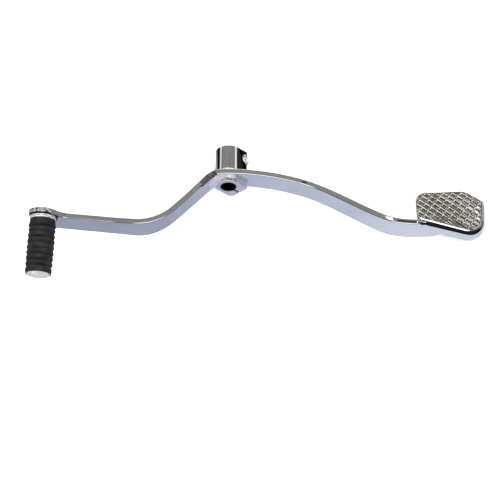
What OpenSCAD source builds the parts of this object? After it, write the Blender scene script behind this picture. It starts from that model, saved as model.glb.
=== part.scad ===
// Heel-and-toe gear shift lever of a small motorcycle.
// X runs from the toe peg to the heel pad, Y runs inboard along the shaft, Z is up.
// The origin is on the shaft axis, at the middle of the clamp hub's length.

/* [Clamp hub] */
// Length of the hub along the shaft
hub_length = 27; // [24:0.5:30]
// Outer diameter of the hub tube behind the bar
hub_d = 17.6; // [16.5:0.1:18]
// Diameter of the spigot that passes through the bar
spigot_d = 15.4; // [15:0.1:16]
// Diameter across the tips of the bore's serrations
bore_tip_d = 10.5; // [9.8:0.1:10.6]
// Diameter across the roots of the bore's serrations
bore_root_d = 11.5; // [11.3:0.1:11.8]
// Number of serrations round the bore
serrations = 24; // [20:1:28]
// Width of the clamp slit
slit_width = 1.2; // [1.2:0.1:2.2]
// Direction of the clamp slit, below the heel side of the X axis
slit_angle = 45; // [40:1:52]

/* [Pinch bolt] */
// Thread diameter of the pinch bolt
bolt_d = 6; // [5:1:6]
// Distance from the bore axis to the bolt axis
bolt_offset = 8.3; // [8.3:0.1:8.5]
// Place of the bolt along the hub, inboard of its middle
bolt_y = 7.5; // [6:0.5:7.5]
// Width across the flats of the bolt's head
bolt_head_af = 10; // [8:1:10]
// Height of the bolt's head
bolt_head_h = 6; // [4:0.5:6]

/* [Lever bar] */
// Thickness of the bar
bar_t = 4; // [3.5:0.1:4.5]
// Height of the bar at the toe end
bar_h_toe = 15; // [14:0.1:16]
// Height of the bar where it crosses the hub
bar_h_hub = 15.5; // [15:0.1:16.5]
// Height of the bar under the heel pad
bar_h_heel = 17.6; // [16:0.1:18.5]
// Distance from the shaft axis forward to the toe peg
toe_reach = 119.2; // [116:0.2:122]
// How far the heel end drops below the hub
heel_drop = 17.7; // [14:0.1:19]

/* [Toe peg] */
// Downward tilt of the peg
peg_tilt = 12; // [8:1:14]
// Forward splay of the peg
peg_splay = 2; // [1:1:5]
// Diameter of the peg's pin
pin_d = 8; // [7:0.1:9]
// Length of the rubber
rubber_length = 36; // [33:0.1:40]
// Diameter over the ribs at the middle of the rubber
rubber_d = 17.4; // [17:0.1:18]
// Number of ribs on the rubber
ribs = 8; // [6:1:9]

/* [Heel pad] */
// Overall thickness of the pad body
pad_t = 8; // [6:0.5:9]
// Thickness of the tread plate under its diamonds
tread_t = 1.4; // [1:0.1:2]
// Spacing of the rows of diamonds
diamond_pitch = 3.6; // [3.4:0.1:4.4]
// Spacing of the diamonds along a row
diamond_length = 4.6; // [4:0.1:5.4]
// Height of the diamonds
diamond_h = 0.8; // [0.6:0.1:1.2]
// Turn of the diamond rows in plan
diamond_angle = -38; // [-45:1:0]

/* [Hidden] */

hub_r = hub_d / 2;
spigot_r = spigot_d / 2;
tip_r = bore_tip_d / 2;
root_r = bore_root_d / 2;
half_hub = hub_length / 2;
hub_chamfer = 0.4;
front_weld_leg = 2.4;
back_weld_leg = 2;
seat_gap = 0.02;

// The clamp ears reach out from the bore axis: short ones on the spigot, longer ones round the bolt.
ear_reach = 10.2;
ear_upper_corner = 1;
ear_lower_corner = 3;
lug_reach = 12;
lug_corner = 5;
gusset_reach = 7;
bolt_end_recess = 0.3;
spigot_length = 8.1;

bolt_r = bolt_d / 2;
thread_hole_r = bolt_r + 0.02;
clear_hole_r = bolt_r + 0.1;
washer_r = 5.8;
plain_washer_t = 1.5;
lock_washer_t = 1.6;

// Front face of the bar in plan, as corner points and the bend radius at each inner corner.
front_y = -half_hub;
bar_corners = [
    [-130, front_y - 24.8], [-45, front_y - 33.8], [-8.2, front_y + 4.1],
    [23, front_y + 3.9], [111.5, front_y - 24.5], [145, front_y - 24.5]
];
bar_bends = [34, 13, 155, 80];

// Stations along the bar: x, height of its centre, height of the bar.
toe_x = -toe_reach;
heel_z = 2.2 - heel_drop;
heel_end_x = 147;
pad_start_x = 122.5;
stations = [
    [toe_x - 8, -1, bar_h_toe], [-75, -1, bar_h_toe + 0.2], [-57, -0.8, bar_h_toe + 1.2],
    [-28, 0.9, bar_h_toe - 1.2], [-8, 2.2, bar_h_hub], [46, 2.2, bar_h_hub + 0.3],
    [112, heel_z, bar_h_heel], [130, heel_z, bar_h_heel], [150, heel_z + 4, bar_h_heel - 8]
];
bar_step = 3;
neck_length = 7.6;

// Toe peg: its own axis runs along -z of peg_frame, starting on the front face of the eye.
peg_seat = [toe_x, front_y - 24.3, 3];
eye_r = 9.3;
eye_t = 3.4;
pin_r = pin_d / 2;
pin_running_gap = 0.06;
rivet_r = 3.2;
thrust_t = 0.55;
end_play = 0.1;
flange_r = 8.6;
flange_t = 2.2;
sleeve_r = 6;
flange_from = thrust_t + end_play;
rubber_from = flange_from + flange_t;
rubber_to = rubber_from + rubber_length;
bar_relief = 0.5;
end_washer_t = 0.6;
end_recess = 1.7;
sleeve_to = rubber_to - end_recess;
head_from = sleeve_to + end_play + end_washer_t;
head_r = 7.4;
head_h = 2.6;

// Heel pad: circles whose common outline is the plan of the tread, as x, y and radius.
pad_top = heel_z + bar_h_heel / 2 - 1;
pad_circles = [
    [130.3, front_y - 7.5, 6.8], [154.5, front_y - 5.5, 6], [165.4, front_y - 8, 1.8],
    [156.5, front_y - 19.3, 9.6], [127.8, front_y - 15.7, 4.3]
];
pad_flank_h = 5.5;
pad_flare = 1.6;
pad_flare_shift = [1, -1.9];
pad_ledge = 0.6;

function unit(v) = v / norm(v);
function sweep_side(a, b, c) = sign(cross(b - a, c - b));

// Points of the arc that rounds the corner b between a and c with bend radius r.
function corner_arc(a, b, c, r) =
    let (u = unit(a - b), v = unit(c - b), half = acos(u * v) / 2)
    let (centre = b + unit(u + v) * r / sin(half), first = b + u * r / tan(half) - centre)
    let (start = atan2(first.y, first.x), turn = sweep_side(a, b, c) * (180 - 2 * half))
    let (steps = max(2, ceil(abs(turn) / 5)))
    [for (i = [0:steps]) centre + r * [cos(start + turn * i / steps), sin(start + turn * i / steps)]];

// A path of corner points with each inner corner rounded.
function rounded_path(corners, bends) = concat(
    [corners[0]],
    [for (i = [1:len(corners) - 2], p = corner_arc(corners[i - 1], corners[i], corners[i + 1], bends[i - 1])) p],
    [corners[len(corners) - 1]]
);

// The same path moved sideways by d, to the left of its direction.
function moved_path(path, d) = [
    for (i = [0:len(path) - 1])
        let (along = unit(path[min(i + 1, len(path) - 1)] - path[max(i - 1, 0)]))
        path[i] + d * [-along.y, along.x]
];

function ease(t) = t * t * (3 - 2 * t);
function between(a, b, t, k) = a[k] + (b[k] - a[k]) * ease(t);

// Value k of the stations at x, eased from one station to the next.
function station(x, k, i = 0) =
    x > stations[i + 1].x && i < len(stations) - 2
        ? station(x, k, i + 1)
        : between(stations[i], stations[i + 1], (x - stations[i].x) / (stations[i + 1].x - stations[i].x), k);

// Frame of the slit: local x runs out along the slit, local y across it, local z outboard.
module slit_frame() {
    rotate([90, 0, 0])
        rotate(-slit_angle)
            children();
}

// Frame of the pinch bolt: local z runs along the bolt towards the threaded ear.
module bolt_frame() {
    translate([0, bolt_y, 0])
        slit_frame()
            translate([bolt_offset, 0, 0])
                rotate([-90, 0, 0])
                    children();
}

// Frame of the toe peg: local z runs out along the pin from the eye's front face.
module peg_frame() {
    translate(peg_seat)
        rotate([0, 0, -peg_splay])
            rotate([90 + peg_tilt, 0, 0])
                children();
}

// Cross-section of a hub of radius r with ears that reach out along the slit.
module hub_section(r, reach, lower_corner, upper_corner) {
    circle(r, $fn = 96);
    translate([0, lower_corner - r])
        square([reach, 2 * r - lower_corner - upper_corner]);
    translate([0, -r])
        square([reach - lower_corner, 2 * r]);
    square([reach - upper_corner, r]);
    translate([reach - lower_corner, lower_corner - r])
        circle(lower_corner, $fn = 64);
    translate([reach - upper_corner, r - upper_corner])
        circle(upper_corner, $fn = 64);
}

// Outside of the spigot, which passes through the bar.
module spigot() {
    translate([0, front_y + spigot_length + 0.01, 0])
        slit_frame()
            linear_extrude(spigot_length + 0.01)
                union() {
                    hub_section(spigot_r, ear_reach, ear_lower_corner, ear_upper_corner);
                    translate([-gusset_reach, -spigot_r])
                        square([gusset_reach, spigot_r]);
                }
}

// Outside of the tube behind the bar, with the lug that takes the pinch bolt.
module tube() {
    translate([0, half_hub, 0])
        slit_frame()
            linear_extrude(hub_length - spigot_length)
                hub_section(hub_r, lug_reach, lug_corner, lug_corner);
}

// Bar blank: the plan of the bar crossed with its side view.
module bar_blank() {
    front = rounded_path(bar_corners, bar_bends);
    back = moved_path(front, bar_t);
    xs = [for (x = [toe_x + neck_length:bar_step:heel_end_x]) x];
    top = [for (x = xs) [x, station(x, 1) + station(x, 2) / 2]];
    bottom = [for (x = xs) [x, station(x, 1) - station(x, 2) / 2]];
    intersection() {
        translate([0, 0, -50])
            linear_extrude(100)
                polygon(concat(front, [for (i = [len(back) - 1:-1:0]) back[i]]));
        rotate([90, 0, 0])
            translate([0, 0, -100])
                linear_extrude(200)
                    polygon(concat(top, [for (i = [len(bottom) - 1:-1:0]) bottom[i]]));
    }
}

// What is taken off the bar where it runs under the pad: the pad itself, all that
// stands above it, and a slope that carries the pad's flank on across the bar.
module heel_shoulder_cut() {
    flank_y = front_y - 20.5;
    slope_h = 1.8;
    clear = 60;
    pad_body();
    translate([pad_start_x, -2 * clear, pad_top])
        cube([clear, 3 * clear, clear]);
    translate([pad_start_x, flank_y, pad_top])
        rotate([90, 0, 90])
            linear_extrude(clear)
                polygon([
                    [0, 0.1], [-2.2, -slope_h], [-4.2, -pad_flank_h],
                    [-clear, -pad_flank_h], [-clear, 0.1]
                ]);
}

// Forged neck between the eye and the bar.
module eye_neck() {
    hull() {
        peg_frame()
            translate([0, 0, -eye_t])
                cylinder(r = eye_r - 0.2, h = eye_t - 0.1, $fn = 32);
        intersection() {
            bar_blank();
            translate([toe_x + neck_length, -100, -50])
                cube([2, 200, 100]);
        }
    }
}

module lever_arm() {
    color("lightsteelblue")
        difference() {
            union() {
                difference() {
                    bar_blank();
                    spigot();
                    tube();
                    heel_shoulder_cut();
                }
                eye_neck();
                peg_frame()
                    translate([0, 0, -eye_t])
                        cylinder(r = eye_r, h = eye_t, $fn = 96);
            }
            peg_frame()
                cylinder(r = flange_r + bar_relief, h = 3 * bar_relief + rubber_from, $fn = 96);
            peg_frame()
                translate([0, 0, -2 * eye_t])
                    cylinder(r = rivet_r + seat_gap, h = 3 * eye_t, $fn = 64);
        }
}

module clamp_hub() {
    color("slategray")
        difference() {
            union() {
                spigot();
                tube();
            }
            rotate([90, 0, 0])
                cylinder(r = tip_r, h = hub_length + 2, center = true, $fn = 96);
            for (side = [-1, 1])
                translate([0, side * half_hub, 0])
                    rotate([side * 90, 0, 0])
                        translate([0, 0, -hub_chamfer])
                            cylinder(r1 = tip_r, r2 = root_r + 0.2, h = hub_chamfer * 1.01, $fn = 96);
            serration_grooves();
            slit_frame()
                translate([0, -slit_width / 2, -half_hub - 1])
                    cube([20, slit_width, hub_length + 2]);
            bolt_frame()
                cylinder(r = thread_hole_r, h = 20, $fn = 64);
            bolt_frame()
                translate([0, 0, hub_r - 0.8])
                    cylinder(r1 = bolt_r, r2 = bolt_r + 1, h = 1, $fn = 64);
            bolt_frame()
                translate([0, 0, -20])
                    cylinder(r = clear_hole_r, h = 20, $fn = 64);
        }
}

// V grooves between the serrations. The slit passes between two of them.
module serration_grooves() {
    groove = 360 / serrations;
    root_half = 0.12;
    mouth_half = 0.36;
    slit_frame()
        for (i = [0:serrations - 1])
            rotate((i + 0.5) * groove)
                translate([0, 0, -half_hub - 1])
                    linear_extrude(hub_length + 2)
                        polygon([
                            [tip_r - 0.3, -mouth_half], [root_r, -root_half],
                            [root_r, root_half], [tip_r - 0.3, mouth_half]
                        ]);
}

// Concave fillet round a hub of radius r, from angle a over sweep degrees, growing outboard.
module weld_bead(r, leg, a, sweep) {
    rotate([90, 0, 0])
        rotate(a)
            rotate_extrude(angle = sweep, $fn = 96)
                translate([r, 0])
                    difference() {
                        translate([-0.2, 0])
                            square([leg + 0.2, leg]);
                        translate([leg, leg])
                            circle(leg - 0.4, $fn = 64);
                    }
}

module hub_weld() {
    front_face = front_y + spigot_length - bar_t;
    back_face = front_y + spigot_length;
    color("gray")
        difference() {
            union() {
                translate([0, front_face, 0])
                    weld_bead(spigot_r, front_weld_leg, 10, 165);
                translate([0, back_face, 0])
                    mirror([0, 1, 0])
                        weld_bead(hub_r, back_weld_leg, 15, 180);
            }
            bar_blank();
            spigot();
            tube();
        }
}

module pinch_bolt() {
    head_seat = hub_r + plain_washer_t + lock_washer_t;
    color("silver")
        bolt_frame()
            difference() {
                union() {
                    translate([0, 0, -head_seat])
                        cylinder(r = bolt_r, h = head_seat + hub_r - bolt_end_recess, $fn = 64);
                    translate([0, 0, -head_seat - bolt_head_h])
                        cylinder(d = bolt_head_af / cos(30), h = bolt_head_h, $fn = 6);
                }
                translate([0, 0, hub_r - bolt_end_recess - 0.6])
                    difference() {
                        cylinder(r = bolt_r + 1, h = 1, $fn = 64);
                        cylinder(r1 = bolt_r, r2 = bolt_r - 1, h = 1, $fn = 64);
                    }
            }
}

// Split spring washer under the bolt's head.
module lock_washer() {
    color("dimgray")
        bolt_frame()
            translate([0, 0, -hub_r - plain_washer_t - lock_washer_t])
                difference() {
                    cylinder(r = washer_r - 0.8, h = lock_washer_t, $fn = 64);
                    translate([0, 0, -1])
                        cylinder(r = bolt_r + 0.1, h = lock_washer_t + 2, $fn = 64);
                    rotate(-90)
                        translate([0, -0.4, -1])
                            cube([10, 0.8, lock_washer_t + 2]);
                }
}

module plain_washer() {
    color("lightgray")
        bolt_frame()
            translate([0, 0, -hub_r - plain_washer_t])
                difference() {
                    cylinder(r = washer_r, h = plain_washer_t, $fn = 64);
                    translate([0, 0, -1])
                        cylinder(r = bolt_r + 0.2, h = plain_washer_t + 2, $fn = 64);
                }
}

// Shouldered pin: its end is riveted over behind the eye, and its head holds the roller on.
module toe_pin() {
    rivet_from = -eye_t - 1;
    color("gainsboro")
        peg_frame()
            rotate_extrude($fn = 96)
                polygon(concat(
                    [[0, rivet_from - 1.4], [rivet_r + 0.8, rivet_from - 1], [rivet_r + 1, rivet_from]],
                    [[rivet_r, rivet_from], [rivet_r, 0], [pin_r, 0], [pin_r, head_from]],
                    [[head_r, head_from], [head_r, head_from + 0.4]],
                    [for (a = [15:15:90]) [head_r * cos(a), head_from + 0.4 + head_h * sin(a)]]
                ));
}

module ring(inner, outer, from, thickness) {
    peg_frame()
        translate([0, 0, from])
            difference() {
                cylinder(r = outer, h = thickness, $fn = 96);
                translate([0, 0, -1])
                    cylinder(r = inner, h = thickness + 2, $fn = 96);
            }
}

module toe_rivet_washer() {
    color("lightgray")
        ring(rivet_r + seat_gap, 6.2, -eye_t - 1, 1);
}

module toe_thrust_washer() {
    color("black")
        ring(pin_r + seat_gap, flange_r - 0.2, 0, thrust_t);
}

module toe_end_washer() {
    color("silver")
        ring(pin_r + seat_gap, 6.3, sleeve_to + end_play, end_washer_t);
}

// Steel bush with the bright flange that faces the eye. The rubber is bonded to it.
module toe_sleeve() {
    bore_r = pin_r + pin_running_gap;
    color("whitesmoke")
        peg_frame()
            rotate_extrude($fn = 96)
                polygon([
                    [bore_r, flange_from], [flange_r - 0.5, flange_from], [flange_r, flange_from + 0.5],
                    [flange_r, rubber_from], [sleeve_r, rubber_from], [sleeve_r, sleeve_to], [bore_r, sleeve_to]
                ]);
}

// Ribbed rubber: a plain collar, then rounded ribs that swell slightly at the middle.
module toe_rubber() {
    collar = 5.1;
    rib_pitch = (rubber_length - collar) / (ribs - 0.25);
    steps = 8;
    rib_depth = 1;
    recess_r = head_r + 0.25;
    color([0.12, 0.12, 0.13])
        peg_frame()
            rotate_extrude($fn = 96)
                polygon(concat(
                    [[sleeve_r, rubber_from], [rubber_r(0) - 0.3, rubber_from]],
                    [[rubber_r(0), rubber_from + 0.3], [rubber_r(0), rubber_from + collar - 0.3]],
                    [
                        for (i = [0:ribs - 1], s = [0:steps - 1])
                            let (along = (collar + rib_pitch * (i + s / steps)) / rubber_length)
                            let (depth = rib_depth * (1 - sin(180 * s / steps)))
                            if (along < 1.001)
                                [rubber_r(along) - depth, rubber_from + along * rubber_length]
                    ],
                    [[recess_r, rubber_to], [recess_r, sleeve_to], [sleeve_r, sleeve_to]]
                ));
}

// Radius over the ribs at a share t of the rubber's length.
function rubber_r(t) = rubber_d / 2 - 0.35 * pow(2 * t - 1, 2);

// The pad's circles as thin discs at height z, grown by grow and moved by shift.
module pad_discs(z, grow, shift) {
    for (c = pad_circles)
        translate([c.x + shift.x, c.y + shift.y, z])
            cylinder(r = c[2] + grow, h = 0.1, $fn = 40);
}

// Solid pad body. Its flank flares out over the front and the heel end, rounded from top to side.
module pad_body() {
    translate([0, 0, pad_top - pad_t])
        hull() {
            pad_discs(0, pad_flare - 1.2, pad_flare_shift);
            for (a = [0:22.5:90])
                pad_discs(
                    pad_t - pad_flank_h * (1 - sin(a)) - 0.1,
                    pad_ledge + (pad_flare - pad_ledge) * cos(a),
                    pad_flare_shift * cos(a)
                );
        }
}

module heel_pad() {
    color("aliceblue")
        pad_body();
}

// Plan of the tread plate, drawn in by inset.
module tread_plan(inset) {
    hull()
        for (c = pad_circles)
            translate([c.x, c.y])
                circle(c[2] - inset, $fn = 64);
}

// V grooves along local x, one every pitch, cut down from height z.
module tread_grooves(pitch, z) {
    rows = 9;
    reach = 60;
    for (i = [-rows:rows])
        translate([-reach, (i + 0.5) * pitch, z])
            rotate([90, 0, 90])
                linear_extrude(2 * reach)
                    polygon([[-0.45 * pitch, 0.01], [0, -diamond_h], [0.45 * pitch, 0.01]]);
}

// Tread plate with rows of low four-sided diamonds and a plain rim.
module heel_tread() {
    rim = 0.6;
    color("white")
        translate([0, 0, pad_top])
            difference() {
                union() {
                    linear_extrude(tread_t)
                        tread_plan(0);
                    linear_extrude(tread_t + diamond_h)
                        tread_plan(rim);
                }
                translate([146, front_y - 14, 0])
                    rotate(diamond_angle) {
                        tread_grooves(diamond_pitch, tread_t + diamond_h);
                        rotate(90)
                            tread_grooves(diamond_length, tread_t + diamond_h);
                    }
            }
}

// Weld that joins the end of the bar to the underside of the pad.
module heel_weld() {
    pad_bottom = pad_top - pad_t;
    leg = 2.4;
    color("gray")
        translate([pad_start_x + 5, front_y - 24.5 + bar_t, pad_bottom])
            rotate([0, 90, 0])
                linear_extrude(12)
                    polygon([[0, 0], [leg, 0], [leg * 0.4, leg * 0.4], [0, leg]]);
}

lever_arm();
clamp_hub();
hub_weld();
pinch_bolt();
lock_washer();
plain_washer();
toe_pin();
toe_rivet_washer();
toe_thrust_washer();
toe_sleeve();
toe_rubber();
toe_end_washer();
heel_pad();
heel_tread();
heel_weld();
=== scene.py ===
import math

import bmesh
import bpy
from mathutils import Matrix, Vector, noise
from mathutils.geometry import delaunay_2d_cdt


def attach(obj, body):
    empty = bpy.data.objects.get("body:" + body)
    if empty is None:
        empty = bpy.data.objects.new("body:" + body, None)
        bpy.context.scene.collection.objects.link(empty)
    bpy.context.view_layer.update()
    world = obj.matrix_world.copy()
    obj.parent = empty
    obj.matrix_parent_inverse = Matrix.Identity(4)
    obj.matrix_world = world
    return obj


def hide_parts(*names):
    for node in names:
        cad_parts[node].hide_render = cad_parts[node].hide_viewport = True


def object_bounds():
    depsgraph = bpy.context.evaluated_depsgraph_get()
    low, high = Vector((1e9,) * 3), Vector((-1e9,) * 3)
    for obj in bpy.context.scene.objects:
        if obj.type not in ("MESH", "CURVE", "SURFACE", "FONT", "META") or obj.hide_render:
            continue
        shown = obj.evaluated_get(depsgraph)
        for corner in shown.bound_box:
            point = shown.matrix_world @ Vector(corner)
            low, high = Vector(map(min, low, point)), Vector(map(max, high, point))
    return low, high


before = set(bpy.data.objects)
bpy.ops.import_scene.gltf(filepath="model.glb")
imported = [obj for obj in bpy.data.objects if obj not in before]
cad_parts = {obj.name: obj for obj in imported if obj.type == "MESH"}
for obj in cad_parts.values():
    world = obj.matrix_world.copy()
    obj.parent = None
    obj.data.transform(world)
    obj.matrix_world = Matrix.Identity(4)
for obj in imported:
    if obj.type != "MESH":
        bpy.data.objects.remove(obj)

# The CAD model's box, before anything is added.
cad_low, cad_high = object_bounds()

# Lengths below are in millimetres, in the CAD model's frame: +X to the heel, +Y inboard, +Z up.
# Angles with names are in degrees, apart from ROW_TURN.
MM = 0.001

# Lever bar, and the places of its two ends.
FRONT_Y = -13.5
BAR_T = 4.0
TOE_X = -119.2
BAR_START_X = TOE_X + 10.4
BAR_END_X = 144.5
HEEL_Z = -15.5
HEEL_H = 17.6

# Clamp hub: its spigot goes through the bar, and its tube is behind it. BORE_R and SLIT_HALF
# reach just past the sides of the bore and the slit.
HUB_HALF = 13.5
SPIGOT_R = 7.7
HUB_R = 8.8
BORE_R = 5.9
SLIT_HALF = 0.62
SLIT_ANGLE = 45
BOLT_Y = 7.5
BOLT_ASIDE = 8.3

# Toe peg: where it leaves the eye, how far it points up and aside, and the eye itself.
PEG_SEAT = (TOE_X, FRONT_Y - 24.3, 3.0)
PEG_TILT = 12
PEG_SPLAY = 2
EYE_R = 9.3
EYE_T = 3.4
EYE_HOLE_R = 3.25

# Places along the toe peg, from the front face of the eye, and radii of its pieces.
THRUST_T = 0.55
END_PLAY = 0.1
FLANGE_FROM = THRUST_T + END_PLAY
FLANGE_T = 2.2
FLANGE_R = 8.6
RUBBER_FROM = FLANGE_FROM + FLANGE_T
RUBBER_L = 36.0
RUBBER_R = 8.7
RUBBER_TO = RUBBER_FROM + RUBBER_L
SLEEVE_TO = RUBBER_TO - 1.7
SLEEVE_R = 6.0
PIN_R = 4.0
HEAD_R = 7.4
HEAD_FROM = SLEEVE_TO + END_PLAY + 0.6

# Heel pad, and the rows of diamonds on its tread.
PAD_TOP = HEEL_Z + HEEL_H / 2 - 1
PAD_T = 8.0
ROW_TURN = math.radians(-38)
ROW_PITCH = 3.6
DIAMOND_L = 4.6
TREAD_CENTRE = Vector((146, FRONT_Y - 14))
TREAD_TURNS = 240

# Outer face of the bar in plan: corner points, and the bend radius at each inner corner.
BAR_CORNERS = [
    (-130, FRONT_Y - 24.8), (-45, FRONT_Y - 33.8), (-8.2, FRONT_Y + 4.1),
    (23, FRONT_Y + 3.9), (111.5, FRONT_Y - 24.5), (145, FRONT_Y - 24.5),
]
BAR_BENDS = [34, 13, 155, 80]

# Side view of the bar: x, height of its centre line, height of the bar.
STATIONS = [
    (TOE_X - 8, -1, 15), (-75, -1, 15.2), (-57, -0.8, 16.2), (-28, 0.9, 13.8), (-8, 2.2, 15.5),
    (46, 2.2, 15.8), (112, HEEL_Z, HEEL_H), (130, HEEL_Z, HEEL_H), (150, HEEL_Z + 4, 9.6),
]

# Heel pad in plan: circles whose common outline is the tread, as x, y and radius.
PAD_CIRCLES = [
    (130.3, FRONT_Y - 7.5, 6.8), (154.5, FRONT_Y - 5.5, 6.0), (165.4, FRONT_Y - 8.0, 1.8),
    (156.5, FRONT_Y - 19.3, 9.6), (127.8, FRONT_Y - 15.7, 4.3),
]

# ---------------------------------------------------------------- node graphs


def add_node(tree, kind, inputs=None, **settings):
    """A node with its settings made, and each input set to a value or joined to a socket."""
    node = tree.nodes.new(kind)
    for key, value in settings.items():
        setattr(node, key, value)
    for key, value in (inputs or {}).items():
        if isinstance(value, bpy.types.NodeSocket):
            tree.links.new(value, node.inputs[key])
        else:
            node.inputs[key].default_value = value
    return node


def grey_ramp(tree, fac, stops):
    """Colour ramp through (place, grey or colour) stops."""
    ramp = add_node(tree, "ShaderNodeValToRGB", {"Fac": fac})
    ramp.color_ramp.interpolation = "EASE"
    points = ramp.color_ramp.elements
    while len(points) < len(stops):
        points.new(0.5)
    for point, (place, tone) in zip(points, stops):
        point.position = place
        point.color = (tone, tone, tone, 1) if isinstance(tone, (int, float)) else (*tone, 1)
    return ramp.outputs["Color"]


def object_noise(tree, scale, detail=2.0, roughness=0.5):
    """Noise fixed to the object: scale is the number of its lumps in a metre."""
    place = add_node(tree, "ShaderNodeTexCoord").outputs["Object"]
    inputs = {"Vector": place, "Scale": scale, "Detail": detail, "Roughness": roughness}
    return add_node(tree, "ShaderNodeTexNoise", inputs).outputs["Fac"]


def new_material(name, metallic, **constants):
    """A Principled material whose constant values sit on the shader's own sockets."""
    material = bpy.data.materials.new(name)
    material.use_nodes = True
    tree = material.node_tree
    shader = tree.nodes["Principled BSDF"]
    shader.inputs["Metallic"].default_value = metallic
    for key, value in constants.items():
        shader.inputs[key.replace("_", " ")].default_value = value
    return material, tree, shader


def add_bump(tree, shader, height, strength, distance):
    """Bumps on the shader's normal, distance millimetres deep."""
    inputs = {"Height": height, "Strength": strength, "Distance": distance * MM}
    bump = add_node(tree, "ShaderNodeBump", inputs)
    tree.links.new(bump.outputs["Normal"], shader.inputs["Normal"])


def plated_metal(name, dark, light, rough, patch, bump_scale, bump, distance=0.02, metallic=1.0):
    """Bright plating: slow drifts of tone and gloss, and a fine unevenness of the ground metal.

    dark and light are the limits of its tone, rough those of its roughness, patch the scale of
    their drifts, bump_scale, bump and distance the scale, strength and depth of the unevenness.
    """
    material, tree, shader = new_material(name, metallic)
    tone = grey_ramp(tree, object_noise(tree, patch, 3.0), [(0.3, dark), (0.7, light)])
    tree.links.new(tone, shader.inputs["Base Color"])
    drift = object_noise(tree, 3 * patch, 4.0, 0.6)
    gloss = grey_ramp(tree, drift, [(0.3, rough[0]), (0.75, rough[1])])
    tree.links.new(gloss, shader.inputs["Roughness"])
    add_bump(tree, shader, object_noise(tree, bump_scale, 3.0, 0.55), bump, distance)
    return material


def turned_metal(name, dark, light, rough):
    """Lathe-turned steel: fine rings of tone round the peg's axis come from a stretched noise."""
    material, tree, shader = new_material(name, 0.6)
    place = add_node(tree, "ShaderNodeTexCoord").outputs["Object"]
    along = add_node(tree, "ShaderNodeMapping", {"Vector": place, "Scale": (300, 2500, 600)})
    rings = add_node(tree, "ShaderNodeTexNoise", {"Vector": along.outputs["Vector"], "Scale": 1.0})
    tone = grey_ramp(tree, rings.outputs["Fac"], [(0.3, dark), (0.7, light)])
    tree.links.new(tone, shader.inputs["Base Color"])
    gloss = grey_ramp(tree, rings.outputs["Fac"], [(0.2, rough[0]), (0.8, rough[1])])
    tree.links.new(gloss, shader.inputs["Roughness"])
    add_bump(tree, shader, rings.outputs["Fac"], 0.15, 0.02)
    return material


def moulded_black(name, dark, light, rough, grain):
    """Moulded rubber or nylon: a fine grain, dusty patches and uneven gloss."""
    material, tree, shader = new_material(name, 0.0, Specular_IOR_Level=0.4)
    tone = grey_ramp(tree, object_noise(tree, 160, 4.0, 0.6), [(0.35, dark), (0.75, light)])
    tree.links.new(tone, shader.inputs["Base Color"])
    gloss = grey_ramp(tree, object_noise(tree, 420, 3.0), [(0.3, rough[0]), (0.7, rough[1])])
    tree.links.new(gloss, shader.inputs["Roughness"])
    add_bump(tree, shader, object_noise(tree, grain, 3.0, 0.7), 0.35, 0.05)
    return material


CHROME_DARK = (0.76, 0.78, 0.82)
CHROME_LIGHT = (0.83, 0.85, 0.89)
chrome = plated_metal("chrome_plate", CHROME_DARK, CHROME_LIGHT, (0.05, 0.1), 40, 260, 0.06)
# Chrome over the welds and the spigot's sides: its darker, bluish tone is a painted cool reflection.
weld_chrome_painted_reflection = plated_metal(
    "chrome_on_weld_painted_reflection", (0.42, 0.44, 0.52), (0.56, 0.58, 0.66), (0.34, 0.5), 300, 1100, 0.4, 0.06, 0.5)
forged_chrome = plated_metal(
    "chrome_on_forging", (0.04, 0.035, 0.03), (0.98, 0.98, 0.98), (0.08, 0.2), 560, 640, 1.0, 0.5, 0.85)
# Darker, mottled chrome for the top of the bar beside the hub.
dark_mottled_chrome = plated_metal(
    "chrome_dark_mottled", (0.01, 0.01, 0.01), (0.36, 0.34, 0.31), (0.08, 0.2), 560, 640, 1.0, 0.5, 0.9)
cast_chrome = plated_metal(
    "chrome_on_casting", (0.42, 0.4, 0.37), (0.6, 0.58, 0.55), (0.08, 0.16), 260, 900, 0.25, 0.05)
pitted_chrome = plated_metal(
    "chrome_on_pits", (0.02, 0.02, 0.02), (0.98, 0.98, 1.0), (0.1, 0.25), 800, 1000, 1.0, 0.6, 0.75)
zinc = plated_metal(
    "zinc_plate", (0.66, 0.67, 0.67), (0.84, 0.85, 0.84), (0.2, 0.36), 240, 1100, 0.25, 0.02, 0.5)
spring_steel = plated_metal(
    "spring_steel", (0.2, 0.21, 0.22), (0.34, 0.35, 0.36), (0.3, 0.45), 300, 1200, 0.3)
# Near-black steel: painted shade in the hub's bore and slit, and in the gap at the eye's joint face.
painted_shade_steel = plated_metal(
    "painted_shade_steel", (0.02, 0.02, 0.022), (0.05, 0.048, 0.045), (0.45, 0.6), 300, 1200, 0.3)
bush_steel = turned_metal("turned_steel", (0.5, 0.5, 0.5), (0.95, 0.95, 0.95), (0.2, 0.34))
cap_steel = plated_metal(
    "pressed_steel", (0.46, 0.46, 0.46), (0.58, 0.58, 0.58), (0.3, 0.45), 300, 700, 0.3, 0.04, 0.35)
rubber = moulded_black("ribbed_rubber", (0.008, 0.008, 0.009), (0.02, 0.02, 0.022), (0.5, 0.68), 2600)
nylon = moulded_black("black_nylon", (0.006, 0.006, 0.006), (0.012, 0.012, 0.012), (0.4, 0.5), 3000)

# ---------------------------------------------------------------- mesh tools


def make_piece(name, points, faces, material, body, nodes=(), sharp=32):
    """A mesh from points in millimetres, riding on a body and standing for CAD nodes."""
    mesh = bpy.data.meshes.new(name)
    mesh.from_pydata([Vector(p) * MM for p in points], [], faces)
    work = bmesh.new()
    work.from_mesh(mesh)
    bmesh.ops.recalc_face_normals(work, faces=work.faces)
    work.to_mesh(mesh)
    work.free()
    return place_mesh(name, mesh, material, body, nodes, sharp)


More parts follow.
